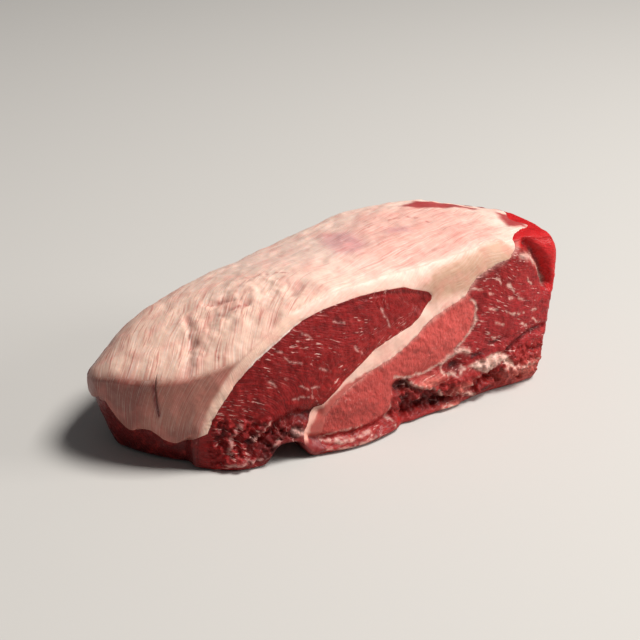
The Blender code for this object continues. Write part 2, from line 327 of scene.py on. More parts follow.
def knolls(points, amount):
    rise, breadth = amount
    return rise * np.array([noise.noise(Vector(point)) for point in points / breadth])


def surface(shares):
    """The joint's surface, with the relief of the meat, and each point's own shares."""
    u, v, w = rounded(shares)
    points = form(u, v, w, left_in=set_back(v) * left_bare(v, w))
    at_cut = np.exp(-((v * BLOCK[1] / RELIEF_FADES) ** 2))
    lip = np.exp(-(((points[:, 2] - LIP_Z) / LIP_SPREAD) ** 2)) * u**LIP_SHARP
    points[:, 0] += LIP_OUT * at_cut * lip
    low = np.exp(-((v * BLOCK[1] / FOOT_FADES) ** 2)) * (1 - w) ** 2
    on_top = step_up((w - TOP_RUN[0]) / TOP_RUN[1])
    grain = knolls(points, LEAN_KNOLLS) * (1 - on_top) * step_up(w / FLOOR_CALM)
    out = cut_relief(points[:, 0], points[:, 2])
    points[:, 1] -= out * np.maximum(at_cut, low) + grain * at_cut
    behind = step_up((v - BACK_RUN[0]) / BACK_RUN[1]) * step_up(w / BACK_RUN[1])
    points[:, 1] += knolls(points, BACK_KNOLLS) * behind
    across = ((points[:, 0] - VOID_X) / VOID_HALF) ** 4
    points[:, 2] += VOID_RISE * np.exp(-across - (points[:, 1] / VOID_BACK) ** 2) * (1 - w) ** 3
    points[:, 2] += on_top * (knolls(points, FAT_KNOLLS) + knolls(points, FAT_RIPPLES))
    return points, np.stack([u, v, w], axis=1)


def envelope(shares):
    """The lean's envelope: under the fat, and outside the joint elsewhere."""
    u, v, w = shares.T
    from_right = (row(FAT_END_RIGHT, v) - u) * BLOCK[0]
    from_back = (row(FAT_END_BACK, u) - v) * BLOCK[1]
    covered = step_up(np.minimum(from_right, from_back) / FAT_EDGE_SOFT + 0.5)
    near_cut = np.exp(-((v * BLOCK[1] / FAT_THINS_OVER) ** 2))
    thick = mix(row(FAT_BEHIND, u), row(FAT_AT_CUT, u), near_cut)
    thinner = mix(-OVERSHOOT, thick, covered)
    on_left = mix(mix(*FAT_AT_CORNER, w), FAT_ON_LEFT, step_up(v / CORNER_REACH))
    left_in = mix(on_left, set_back(v) - LEAN_SHOWS, left_bare(v, w))
    points = form(u, v, w, thinner=thinner, left_in=left_in)
    points[v == 0, 1] -= OVERSHOOT_CUT
    points[v == 1, 1] += OVERSHOOT_BACK
    points[u == 1, 0] += OVERSHOOT_BACK
    points[w == 0, 2] -= OVERSHOOT_BACK
    return points


def add_object(name, points, faces):
    mesh = bpy.data.meshes.new(name)
    mesh.from_pydata((points - MIDDLE) * MM, [], faces)
    shape = bmesh.new()
    shape.from_mesh(mesh)
    bmesh.ops.triangulate(shape, faces=shape.faces)
    shape.to_mesh(mesh)
    shape.free()
    made = bpy.data.objects.new(name, mesh)
    bpy.context.scene.collection.objects.link(made)
    return made


def prism(name, outline):
    """An outline on the cut face run back through the joint along the seam's slant."""
    along = []
    for start, end in zip(outline, np.roll(outline, -1, axis=0)):
        steps = max(1, int(np.hypot(*(end - start)) / WALL_CELL))
        along += [mix(start, end, step / steps) for step in range(steps)]
    count = len(along)
    depths = np.linspace(SEAM_FRONT, SEAM_BACK, int((SEAM_BACK - SEAM_FRONT) / WALL_CELL))
    points = [(x + SEAM_SLANT * y, y, z) for y in depths for x, z in along]
    walls = []
    for ring in range(len(depths) - 1):
        for i in range(count):
            here, onward = ring * count + i, ring * count + (i + 1) % count
            walls.append((here, here + count, onward + count, onward))
    last = (len(depths) - 1) * count
    faces = [tuple(range(count)), tuple(range(last + count - 1, last - 1, -1)), *walls]
    return add_object(name, np.array(points, float), faces)


def combine(target, other, operation):
    change = target.modifiers.new(other.name, 'BOOLEAN')
    change.operation = operation
    change.solver = 'MANIFOLD'
    change.object = other


def finished(made):
    """The object with its changes worked into a plain mesh."""
    graph = bpy.context.evaluated_depsgraph_get()
    mesh = bpy.data.meshes.new_from_object(made.evaluated_get(graph), depsgraph=graph)
    made.modifiers.clear()
    made.data = mesh
    mesh.name = made.name
    return made


shares, squares = block_of(CELLS)
plain_points, joint_shares = surface(shares)
across, back, up = joint_shares.T
side_x, side_y, side_z = plain_points.T
# Outlines and lines on the cut face are given as (right, up), those on top as (right, back).
CUT_RIM = (2.0, 6.0)
AT_CUT = 1 - step_up((back * BLOCK[1] - CUT_RIM[0]) / CUT_RIM[1])
TORN = (
    ((-20, -2), (46, -2), (50, 26), (20, 34), (-14, 40)),
    ((120, -6), (200, -6), (200, 24), (150, 24), (132, 36), (120, 30)),
    ((196, -6), (262, -6), (262, 30), (225, 34), (190, 34)),
)
LUMPY = ((-20, 20), (-14, 62), (8, 68), (40, 66), (62, 62), (60, 22), (30, 26), (8, 26))
BORDER = (
    (-10, 52), (0, 62), (5, 69), (18, 82), (30, 90), (47, 99), (60, 101), (78, 105), (120, 105),
    (145, 98), (157, 92), (162, 80), (184, 86), (190, 93), (200, 99), (224, 105), (240, 101), (262, 90),
)
# Each crease of the fat: its depth, half width and line.
CREASES = (
    (2.0, 2.6, ((-3, 60), (-8, 50), (-10, 43), (-15, 36))),
    (1.2, 1.6, ((11, 60), (18, 54), (24, 46))),
    (1.4, 1.6, ((18, 40), (24, 37), (30, 36))),
    (1.2, 5.0, ((9, 44), (14, 40))),
    (0.8, 3.0, ((65, 28), (57, 20))),
    (1.0, 3.0, ((-12, 36), (-20, 24), (-24, 20))),
)


def inside(x, z, outline):
    """Whether each place lies in a closed outline."""
    found = np.zeros(x.shape, bool)
    for (ax, az), (bx, bz) in zip(outline, (*outline[1:], outline[0])):
        if az != bz:
            crossing = (bx - ax) * (z - az) / (bz - az) + ax
            found ^= ((az > z) != (bz > z)) & (x < crossing)
    return found


def patch(x, z, outline, soft):
    """1 in an outline and 0 outside it, with an edge this soft."""
    away = to_line(x, z, (*outline, outline[0]))
    return step_up(np.where(inside(x, z, outline), away, -away) / soft + 0.5)


def drawn(x, z, lines, half_width):
    """1 on the lines, fading to 0 away from them."""
    found = np.zeros_like(x)
    for points in lines:
        found = np.maximum(found, np.exp(-((to_line(x, z, points) / half_width) ** 2)))
    return found


def shake(points, *sizes):
    """A small random shift for each point, so that nothing painted by line looks ruled."""
    shift = np.zeros_like(points)
    for reach, breadth in sizes:
        shift += reach * np.array([noise.noise_vector(Vector(point)) for point in points / breadth])
    return shift


ON_TOP_RUN = (0.9, 0.08)
TORN_EDGE_SOFT = 8
LUMPY_EDGE_SOFT = 16
FAT_RIM_SOFT = 3
EDGE_SHAKE = (3.0, 9.0)
ON_TOP = step_up((up - ON_TOP_RUN[0]) / ON_TOP_RUN[1])
side_x, side_y, side_z = (plain_points + shake(plain_points, EDGE_SHAKE)).T
torn = AT_CUT * np.maximum.reduce([patch(side_x, side_z, outline, TORN_EDGE_SOFT) for outline in TORN])
lumpy = ON_TOP * patch(side_x, side_y, LUMPY, LUMPY_EDGE_SOFT)
over_lean = step_up((side_z - np.interp(side_x, *np.array(BORDER).T)) / FAT_RIM_SOFT + 0.5)
seam_face = patch(side_x, side_z, (*SEAM_UPPER[1:12], *SEAM_LOWER[-2:0:-1]), FAT_RIM_SOFT)
fatty = np.maximum(over_lean, seam_face)
for depth, half_width, points in CREASES:
    sunk = depth * np.exp(-((to_line(side_x, side_y, points) / half_width) ** 2))
    plain_points[:, 2] -= sunk * ON_TOP
# The clefts between muscles on the two ends that the photograph doesn't show: on the right
# end by depth and height, on the back by width and height.
END_CLEFTS = (
    ((-4, 58), (22, 50), (48, 54), (80, 66), (112, 60)),
    ((44, -2), (40, 22), (47, 54)),
    ((70, 62), (78, 88), (72, 112)),
)
BACK_CLEFTS = (
    ((262, 46), (222, 58), (176, 50), (128, 42), (84, 46), (40, 34)),
    ((196, 54), (188, 80), (200, 106)),
    ((120, 42), (112, 20), (118, -2)),
)
CLEFT_DEPTH = 2.2
CLEFT_HALF = 3.2
END_RUN = (0.955, 0.03)
FLOOR_RUN = (0.02, 0.06)
ON_RIGHT = step_up((across - END_RUN[0]) / END_RUN[1]) * (1 - AT_CUT)
ON_BACK = step_up((back - END_RUN[0]) / END_RUN[1])
plain_points[:, 0] -= CLEFT_DEPTH * ON_RIGHT * drawn(side_y, side_z, END_CLEFTS, CLEFT_HALF)
plain_points[:, 1] -= CLEFT_DEPTH * ON_BACK * drawn(side_x, side_z, BACK_CLEFTS, CLEFT_HALF)
off_floor = step_up((up - FLOOR_RUN[0]) / FLOOR_RUN[1])


def paint(made, name, values):
    """A value, colour or direction for each point of a mesh, under a name for the material."""
    values = np.asarray(values, np.float32)
    kinds = {1: ('FLOAT', "value"), 3: ('FLOAT_VECTOR', "vector"), 4: ('FLOAT_COLOR', "color")}
    kind, field = kinds[values.size // len(values)]
    layer = made.data.attributes.new(name, kind, 'POINT')
    layer.data.foreach_set(field, values.ravel())


def add_node(tree, kind, settings=None, inputs=None):
    """A node with its settings, and its inputs set to values or linked to other sockets."""
    made = tree.nodes.new(kind)
    for key, value in (settings or {}).items():
        setattr(made, key, value)
    for key, value in (inputs or {}).items():
        if isinstance(value, bpy.types.NodeSocket):
            tree.links.new(value, made.inputs[key])
        else:
            made.inputs[key].default_value = value
    return made


# Each roughness of the meat: its name, the painted share that it works in, its height and
# breadth in metres, and the number of finer layers of noise in it.
ROUGHNESSES = (
    ("Torn", "torn", 0.0150, 0.0050, 4.0),
    ("Lumps", "lumpy", 0.0075, 0.014, 3.0),
    ("Grain", "grainy", 0.0028, 0.0045, 3.0),
    ("Film", "filmy", 0.0020, 0.0110, 2.0),
)
ROUGHNESS_FALLS = 0.55
lean = bpy.data.materials.new("raw_lean_beef")
relief = bpy.data.node_groups.new("meat_relief", 'GeometryNodeTree')
relief.interface.new_socket("Geometry", in_out='OUTPUT', socket_type='NodeSocketGeometry')
relief.interface.new_socket("Geometry", in_out='INPUT', socket_type='NodeSocketGeometry')
relief_inputs = {}
for title, _, rise, breadth, _ in ROUGHNESSES:
    for label, size in ((f"{title} Height", rise), (f"{title} Breadth", breadth)):
        socket = relief.interface.new_socket(label, in_out='INPUT', socket_type='NodeSocketFloat')
        relief_inputs[socket.identifier] = size
entry = relief.nodes.new("NodeGroupInput")
place = add_node(relief, "GeometryNodeInputPosition")
lift = 0.0
for title, share, _, _, finer in ROUGHNESSES:
    rise, breadth = entry.outputs[f"{title} Height"], entry.outputs[f"{title} Breadth"]
    named = add_node(relief, "GeometryNodeInputNamedAttribute", inputs={"Name": share})
    scale = add_node(relief, "ShaderNodeMath", {"operation": 'DIVIDE'}, {0: 1.0, 1: breadth}).outputs[0]
    rough = add_node(
        relief,
        "ShaderNodeTexNoise",
        inputs={"Vector": place.outputs[0], "Scale": scale, "Detail": finer, "Roughness": ROUGHNESS_FALLS},
    ).outputs["Fac"]
    for operation, factors in (
        ('SUBTRACT', (0.5,)),
        ('MULTIPLY', (rise,)),
        ('MULTIPLY_ADD', (named.outputs["Attribute"], lift)),
    ):
        inputs = dict(enumerate((rough, *factors)))
        rough = add_node(relief, "ShaderNodeMath", {"operation": operation}, inputs).outputs[0]
    lift = rough
outward = add_node(relief, "GeometryNodeInputNormal")
inputs = {0: outward.outputs[0], "Scale": lift}
push = add_node(relief, "ShaderNodeVectorMath", {"operation": 'SCALE'}, inputs)
made = entry.outputs[0]
for kind, inputs in (
    ("GeometryNodeSetPosition", {"Offset": push.outputs[0]}),
    ("GeometryNodeRealizeInstances", {}),
    ("GeometryNodeSetMaterial", {"Material": lean}),
):
    made = add_node(relief, kind, inputs={0: made, **inputs}).outputs[0]
add_node(relief, "NodeGroupOutput", inputs={0: made})

# Fat tears less than lean does, and shows less grain.
FAT_TEARS_LESS = 0.6
FAT_GRAINS_LESS = 0.8
roughness_shares = {
    "torn": torn * off_floor * (1 - FAT_TEARS_LESS * fatty),
    "lumpy": lumpy,
    "grainy": AT_CUT * off_floor * (1 - torn) * (1 - FAT_GRAINS_LESS * fatty),
    "filmy": (1 - AT_CUT) * off_floor,
}
joint = add_object("joint", plain_points, squares)
for name, share in roughness_shares.items():
    paint(joint, name, share)
roughen = joint.modifiers.new("relief", 'NODES')
roughen.node_group = relief
for identifier, size in relief_inputs.items():
    roughen[identifier] = size
finished(joint)


def read_points(made):
    """A mesh's points in millimetres."""
    flat = np.empty(len(made.data.vertices) * 3)
    made.data.vertices.foreach_get("co", flat)
    return flat.reshape(-1, 3) / MM + MIDDLE


# How far and how finely the painted lines and the runs of fibre waver, and the length of the
# gaps in broken lines.
LINE_SHAKES = ((1.6, 6.0), (0.7, 2.2))
FIBRE_SHAKE = (3.0, 24.0)
GAP = (1.0, 2.6)
joint_points = read_points(joint)
painted_points = joint_points + shake(joint_points, *LINE_SHAKES)
wavy_points = joint_points + shake(joint_points, FIBRE_SHAKE)
gaps = knolls(joint_points, GAP)
joint_tree = kdtree.KDTree(len(joint_points))
for index, point in enumerate(joint_points):
    joint_tree.insert(point, index)
joint_tree.balance()
envelope_shares, envelope_squares = block_of(ENVELOPE_CELLS)
envelope_points = envelope(envelope_shares)


def room_beyond(name, edge, side):
    """The space one muscle fills: inside the lean's envelope, on its side of the seam."""
    far = FAR_RIGHT if side > 0 else FAR_LEFT
    edge = np.array(edge, float)
    lengths = np.concatenate([[0], np.cumsum(np.hypot(*np.diff(edge, axis=0).T))])
    at = np.linspace(0, lengths[-1], int(lengths[-1] / WALL_CELL))
    curve = np.stack([smooth(lengths, edge[:, 0], at), smooth(lengths, edge[:, 1], at)], axis=1)
    outline = np.concatenate([curve, [(far, edge[-1][1]), (far, edge[0][1])]])
    if side > 0:
        outline = outline[::-1]
    room = add_object(name, envelope_points, envelope_squares)
    edge_block = prism(f"{name}_edge", outline)
    combine(room, edge_block, 'DIFFERENCE')
    finished(room)
    bpy.data.objects.remove(edge_block)
    return room


def cut_from_joint(name, cuts):
    """A piece of the joint: what is left of it after each room is taken away or kept."""
    piece = joint.copy()
    piece.name = name
    piece.data = joint.data.copy()
    bpy.context.scene.collection.objects.link(piece)
    for room, operation in cuts:
        combine(piece, room, operation)
        finished(piece)
    piece.data.materials.clear()
    for spare in roughness_shares:
        piece.data.attributes.remove(piece.data.attributes[spare])
    piece.data.shade_smooth()
    return piece


def nearest_of(piece):
    """The joint's point nearest to each point of a piece."""
    return np.array([joint_tree.find(point)[1] for point in read_points(piece)])


def linear(code):
    """An sRGB hex colour as the linear colour that a shader takes."""
    parts = [int(code[i : i + 2], 16) / 255 for i in (1, 3, 5)]
    curved = (c / 12.92 if c <= 0.04045 else ((c + 0.055) / 1.055) ** 2.4 for c in parts)
    return np.array([*curved, 1.0])


def coloured(first, layers):
    """A colour for each point: the first one, turned towards each layer's by its share there."""
    colours = linear(first)[None, :]
    for code, share in layers:
        colours = mix(colours, linear(code), np.clip(share, 0, 1)[:, None])
    return colours


def slit_blade():
    """A thin wedge that opens the slit down the left end."""
    (top_v, top_w), (foot_v, foot_w) = SLIT_TOP, SLIT_FOOT
    v = np.array([top_v, foot_v])
    w = np.array([top_w, foot_w])
    rim = form(np.zeros(2), v, w)
    inward = -np.array([*LEFT_FACING, 0.0])
    side = np.array([LEFT_FACING[1], -LEFT_FACING[0], 0.0]) * SLIT_WIDTH / 2
    top, foot = rim[0] + (0, 0, BLADE_STANDS_OUT), rim[1]
    outer_top, outer_foot = (end - inward * BLADE_STANDS_OUT for end in (top, foot))
    points = [outer_top - side, outer_top + side, outer_foot - side / 2, outer_foot + side / 2]
    points += [end + inward * depth for end, depth in zip((top, foot), SLIT_DEPTHS)]
    faces = [(0, 1, 4), (2, 5, 3), (0, 4, 5, 2), (1, 3, 5, 4), (0, 2, 3, 1)]
    blade = add_object("slit_blade", np.array(points), faces)
    shape = bmesh.new()
    shape.from_mesh(blade.data)
    bmesh.ops.recalc_face_normals(shape, faces=shape.faces)
    shape.to_mesh(blade.data)
    shape.free()
    return blade


room_cap = room_beyond("room_cap", SEAM_UPPER, 1)
room_eye = room_beyond("room_eye", SEAM_LOWER, -1)
blade = slit_blade()
cover = cut_from_joint("trimmed_fat", [(room, 'DIFFERENCE') for room in (room_cap, room_eye, blade)])
bpy.data.objects.remove(blade)

# Colours of the fat by place, some of them painted shade and one a painted highlight.
HARD_FAT = "#fbd0ba"
BRIGHT_FAT = "#f6d2c1"
CUT_FAT = "#f3c6b4"
TAN_FAT = "#cba085"
# The left end's own red-brown fat, darkened further as painted shade.
SHADED_END_FAT = "#a86050"
END_SHADE = "#7d3a31"
LOW_SEAM = "#e39384"
# Near-white painted highlight for the fat's rim beside the cap.
RIM_HIGHLIGHT = "#fff0e8"
PALE_STRAND = "#fbe6da"
DULL_FAT = "#c98f80"
BLUSH = "#e2887c"
LILAC = "#cf8c93"
BLOOD = "#a8252a"
BLOOD_STREAK = "#b8453e"
# Mauve-brown painted shade for the creases on top.
CREASE_SHADE = "#8a4a48"
FLAP_FILM = "#7f1215"
# Near-black red painted shade for the fat's underside.
UNDER_SHADE = "#560b0b"
LEAN_FILM = "#b5483f"
# Dark red-brown painted shade for the slit down the left end.
SLIT_SHADE = "#74211d"
SEAM_FILM = (
    (50, 8), (50, 18), (54, 25), (60, 33), (67, 40), (78, 46), (104, 53), (98, 44), (70, 34), (62, 20),
    (62, 8),
)
SEAM_LINE = (
    (44, 8), (52, 22), (62, 35), (75, 46), (92, 56), (110, 62), (130, 68), (150, 79), (165, 90),
    (182, 96), (205, 106), (245, 108),
)
RIM_LINE = ((2, 63), (18, 80), (30, 88), (46, 97))
TAN_BAND = ((146, -2), (160, 1), (204, 6), (226, 8), (234, -2), (234, -30), (146, -30))
PURPLE_PATCHES = (
    ((127, 99), (140, 80), (135, 50), (120, 38), (108, 46), (113, 73)),
    ((164, 66), (177, 59), (173, 49), (158, 56)),
)
PINK_ZONE = ((112, 20), (132, 8), (176, 6), (232, 16), (236, 60), (200, 92), (150, 100), (120, 60))
RED_LINES = (
    ((11, 60), (18, 54)),
    ((21, 39), (28, 36)),
    ((44, 64), (53, 60), (67, 45)),
    ((-5, 18), (-7, 12)),
    ((174, 78), (187, 76), (194, 66), (196, 57)),
    ((136, 3), (139, -1)),
)
RED_STRIPS = (
    ((195, 98), (206, 84), (232, 74), (245, 62), (249, 68), (238, 88), (218, 104)),
    ((254, 54), (262, 50), (268, 44), (262, 24), (246, 26), (250, 40)),
)
# How far up the left end, in millimetres, the painted shade of the slit reaches.
SLIT_SHADE_ENDS = 66.0
SLIT_LINE = ((SLIT_TOP[0] * BLOCK[1], BLOCK[2]), (SLIT_FOOT[0] * BLOCK[1], SLIT_SHADE_ENDS))
SLIT_HALF = 2.4
near = nearest_of(cover)
u, v, w = joint_shares[near].T
x, y, z = painted_points[near].T
cut = AT_CUT[near]
top = ON_TOP[near] * (1 - cut)
end = step_up((0.10 - u) / 0.05) * (1 - top) * step_up((v - 0.02) / 0.03)
bared = top * np.maximum.reduce([patch(x, y, outline, 6) for outline in RED_STRIPS])
film = cut * patch(x, z, SEAM_FILM, 2)
foot = step_up((16 - z) / 4) * step_up((x - 20) / 8) * step_up((75 - x) / 8)
# The fat's underside and low walls near the floor, darkened as painted shade.
under = (1 - cut) * step_up((30 - z) / 6) * step_up((u - 0.08) / 0.04) * step_up((0.9 - v) / 0.05)
broken = step_up(gaps[near] * 2 + 0.7)
# Each colour laid on the fat, and its share at each point. A share rises or falls from one
# place over a run, in millimetres for x, y and z, and in parts of the joint for u, v and w.
fat_layers = (
    (BRIGHT_FAT, top * step_up((u - 0.1) / 0.35)),
    # Painted shade: the back left of the top and the left end go red-brown, the left facet and foot darker
    # still.
    (SHADED_END_FAT, 0.5 * step_up((v - 0.75) / 0.2) * step_up((0.35 - u) / 0.2)),
    (SHADED_END_FAT, 0.9 * end),
    (END_SHADE, end * np.maximum(0.7 * step_up((v - 0.42) / 0.12), 0.6 * step_up((0.55 - w) / 0.2))),
    (CUT_FAT, cut * step_up((x - 35) / 25)),
    (TAN_FAT, 0.95 * patch(x, y, TAN_BAND, 5) * step_up((z - 84) / 9)),
    (BLUSH, 0.38 * top * patch(x, y, PINK_ZONE, 22)),
    *((LILAC, 0.62 * top * patch(x, y, outline, 12)) for outline in PURPLE_PATCHES),
    # Painted shade along the creases on top.
    *((CREASE_SHADE, 0.42 * top * drawn(x, y, (line,), half_width)) for _, half_width, line in CREASES),
    (BLOOD, 0.75 * top * broken * drawn(x, y, RED_LINES, 0.9)),
    (BLOOD, 0.95 * bared),
    (LOW_SEAM, 0.6 * cut * step_up((48 - z) / 25) * step_up((x - 38) / 8)),
    (LEAN_FILM, 0.92 * film),
    (FLAP_FILM, foot),
    # Painted shade under the joint.
    (UNDER_SHADE, 0.9 * under),
    # A painted highlight along the fat's rim beside the cap.
    (RIM_HIGHLIGHT, 0.6 * cut * drawn(x, z, (RIM_LINE,), 1.3)),
    # Painted shade along the slit down the left end.
    (SLIT_SHADE, end * drawn(v * BLOCK[1], w * BLOCK[2], (SLIT_LINE,), SLIT_HALF)),
)
paint(cover, "tint", coloured(HARD_FAT, fat_layers))
# The strands run along and across these on each side. On top they turn from left to right.
STRAND_TURNS = np.radians((46, 14))
x, y, z = wavy_points[near].T
away_from_seam, along_seam = along_line(x, z, SEAM_LINE)
turn = mix(*STRAND_TURNS, step_up((x + 10) / 120))
right_of, back_of = x - 40, y - 60
along_top = right_of * np.cos(turn) + back_of * np.sin(turn)
across_top = back_of * np.cos(turn) - right_of * np.sin(turn)
strands = np.stack([along_top, across_top, z * 0], axis=1)
for place, along, over in (
    (end > 0.5, z, v * BLOCK[1]),
    ((back[near] > 0.97) & (up[near] < 0.95), z, x),
    ((cut > 0.5) & (x > 30), along_seam, away_from_seam),
    ((cut > 0.5) & (x <= 30), z - 0.4 * x, x + 0.4 * z),
):
    strands[place, 0] = along[place]
    strands[place, 1] = over[place]
paint(cover, "strands", strands)
BLOOD_SHOWS = 0.55
pinker = 0.45 + 0.55 * step_up((0.35 - u) / 0.2) + 0.3 * patch(x, y, PINK_ZONE, 22)
veiny = (1 - foot) * top * pinker + 0.55 * end + 0.25 * cut
paint(cover, "veiny", BLOOD_SHOWS * np.clip(veiny, 0, 1))
paint(cover, "clean", np.maximum.reduce([0.65 * cut, bared, foot, film, 0.55 * end]))
STREAKS_FALL = 0.6


def raw_meat(material, fibres, masks, streaks, mottles, spreads, layers, bump, skin):
    """Fills a material with the look of raw meat, from tables of its patterns and colours.

    A streak is noise drawn out along the fibres painted on the piece: its length and breadth in
    millimetres, and its finer layers. A mottle is even noise: its size in metres, and its finer
    layers. A spread turns a pattern between two levels into a share between two others, and the
    last may be another share. A layer is a share, its colour, and how the two mix.
    """
    material.use_nodes = True
    tree = material.node_tree
    tree.nodes.clear()
    found = {}
    painted = (("tint", "Color"), (fibres, "Vector"), *((mask, "Fac") for mask in masks))
    for name, output in painted:
        found[name] = add_node(tree, "ShaderNodeAttribute", {"attribute_name": name}).outputs[output]
    spot = add_node(tree, "ShaderNodeTexCoord").outputs["Object"]
    noises = {name: {"Vector": spot, "Scale": 1 / size, "Detail": finer} for name, size, finer in mottles}
    for name, length, breadth, finer in streaks:
        inputs = {"Vector": found[fibres], "Scale": (1 / length, 1 / breadth, 1 / breadth)}
        run = add_node(tree, "ShaderNodeMapping", {"vector_type": 'POINT'}, inputs).outputs[0]
        noises[name] = {"Vector": run, "Scale": 1.0, "Detail": finer, "Roughness": STREAKS_FALL}
    for name, inputs in noises.items():
        found[name] = add_node(tree, "ShaderNodeTexNoise", inputs=inputs).outputs["Fac"]
    soft = {"interpolation_type": 'SMOOTHSTEP'}
    for name, source, low, high, least, most in spreads:
        inputs = {"Value": found[source], "From Min": low, "From Max": high}
        inputs |= {"To Min": least, "To Max": found.get(most, most)}
        found[name] = add_node(tree, "ShaderNodeMapRange", soft, inputs).outputs["Result"]
    colour = found["tint"]
    for share, code, how in layers:
        inputs = {0: found[share], 6: colour, 7: tuple(linear(code))}
        settings = {"data_type": 'RGBA', "blend_type": how}
        colour = add_node(tree, "ShaderNodeMix", settings, inputs).outputs[2]
    strength, rise, parts = bump
    level = 0.0
    for name, part in parts:
        inputs = {0: found[name], 1: part, 2: level}
        level = add_node(tree, "ShaderNodeMath", {"operation": 'MULTIPLY_ADD'}, inputs).outputs[0]
    bumps = add_node(tree, "ShaderNodeBump", inputs={"Strength": strength, "Distance": rise, "Height": level})
    inputs = {"Base Color": colour, "Roughness": found["roughness"], "Normal": bumps.outputs[0], **skin}
    shader = add_node(tree, "ShaderNodeBsdfPrincipled", {"subsurface_method": 'RANDOM_WALK'}, inputs)
    add_node(tree, "ShaderNodeOutputMaterial", inputs={"Surface": shader.outputs[0]})


# Raw beef fat: waxy and matt, pale and slightly see-through, drawn with fine strands about
# 1 mm apart that hold a little blood.
fat = bpy.data.materials.new("raw_beef_fat")
raw_meat(
    fat,
    "strands",
    masks=("veiny", "clean"),
    streaks=(("strand", 26.0, 1.2, 3.0), ("broad", 30.0, 7.0, 2.0)),
    mottles=(("blotch", 0.016, 4.0), ("speck", 0.003, 3.0)),
    spreads=(
        ("blood_zone", "broad", 0.38, 0.58, 0.0, "veiny"),
        ("blood", "strand", 0.49, 0.64, 0.0, "blood_zone"),
        ("most_blush", "clean", 0.7, 1.0, 0.32, 0.03),
        ("blush", "blotch", 0.46, 0.66, 0.0, "most_blush"),
        ("most_pale", "clean", 0.0, 1.0, 0.36, 0.0),
        ("pale", "strand", 0.49, 0.36, 0.0, "most_pale"),
        ("dull", "speck", 0.52, 0.72, 0.0, 0.12),
        ("roughness", "blotch", 0.35, 0.65, 0.42, 0.58),
    ),
    layers=(
        ("blush", BLUSH, 'MIX'),
        ("blood", BLOOD_STREAK, 'MIX'),
        ("pale", PALE_STRAND, 'MIX'),
        ("dull", DULL_FAT, 'MIX'),
    ),
    bump=(0.38, 0.0009, (("speck", 0.35), ("strand", 1.3))),
    skin={
        "Subsurface Weight": 0.12,
        "Subsurface Radius": (1.0, 0.45, 0.3),
        "Subsurface Scale": 0.004,
        "IOR": 1.46,
        "Coat Weight": 0.10,
        "Coat Roughness": 0.35,
    },
)
cover.data.materials.append(fat)
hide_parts("fat_cover")
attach(cover, "root")

# Rump cap muscle
# The dark red lean between the fat cover and the seam. Raw beef cut across its fibres, with
# short flecks of fat in it, and dragged into loose ends at its lower left corner.
cap = cut_from_joint("cap_muscle", ((room_cap, 'INTERSECT'),))
DEEP_RED = "#8c0d0e"
DARK_RED = "#5c0d0d"
SHADED = "#230404"
SEAM_SIDE_RED = "#9c201d"
LIGHT_LEAN = "#bb3430"
PALE_FLECK = "#e9b3a8"
# The cap's lower corner around the hollow under it, darkened as painted shade.
SHADED_LOW_CORNER = ((48, -8), (66, 38), (40, 42), (10, 20), (20, -8))
NUB_LINE = ((40, 22), (47, 19), (53, 13))
FACE_MIDDLE = (90, 60)
CAP_FLECKS = (
    ((35, 77), (40, 73), (46, 70)),
    ((73, 94), (82, 91)),
    ((50, 92), (56, 85)),
    ((60, 64), (68, 60)),
    ((45, 54), (52, 51), (60, 50)),
    ((40, 46), (52, 45)),
    ((113, 95), (115, 88), (118, 80)),
    ((24, 62), (29, 55)),
    ((30, 84), (34, 80)),
    ((88, 74), (94, 66)),
)
LOOSE_ENDS = (
    ((-5, 15), (-2, 25), (3, 33)),
    ((12, 22), (18, 27), (22, 33)),
    ((-8, 5), (5, 8), (18, 7)),
    ((24, 16), (30, 20)),
)
CAP_HOLLOWS = ((-9, 28, 4, 5), (9, 20, 3.5, 6), (52, 31, 6, 3), (30, 10, 15, 7), (40, 22, 8, 4))


def hollows(x, z, places):
    """1 in each hollow, fading to 0 around it."""
    found = np.zeros_like(x)
    for cx, cz, half_width, half_height in places:
        away = ((x - cx) / half_width) ** 2 + ((z - cz) / half_height) ** 2
        found = np.maximum(found, np.exp(-away))
    return found


def turned(x, z, degrees):
    """Places measured along and across a direction on the cut face."""
    angle = np.radians(degrees)
    x, z = x - FACE_MIDDLE[0], z - FACE_MIDDLE[1]
    along = x * np.cos(angle) + z * np.sin(angle)
    return np.stack([along, z * np.cos(angle) - x * np.sin(angle), x * 0], axis=1)


near = nearest_of(cap)
w = joint_shares[near, 2]
x, y, z = painted_points[near].T
cut = AT_CUT[near]
from_seam = to_line(x, z, SEAM_UPPER)
broken = step_up(gaps[near] * 2 + 0.75)
pale_marks = (
    0.75 * broken * drawn(x, z, CAP_FLECKS, 0.7),
    0.7 * broken * drawn(x, z, LOOSE_ENDS, 1.2),
    0.75 * drawn(x, z, (NUB_LINE,), 2.2),
)
# The cap's colours, with painted shade on its lower corner, low hidden sides, hollows and along the fat's
# border.
cap_layers = (
    (SEAM_SIDE_RED, cut * np.exp(-((from_seam / 12) ** 2))),
    (DARK_RED, 0.55 * cut * patch(x, z, SHADED_LOW_CORNER, 16)),
    (DARK_RED, 0.85 * (1 - cut)),
    (SHADED, 0.5 * (1 - cut) * step_up((0.3 - w) / 0.3)),
    (SHADED, 0.8 * cut * hollows(x, z, CAP_HOLLOWS)),
    (SHADED, 0.25 * cut * drawn(x, z, (BORDER[:11],), 1.6)),
    (PALE_FLECK, cut * np.maximum.reduce(pale_marks)),
)
paint(cap, "tint", coloured(DEEP_RED, cap_layers))
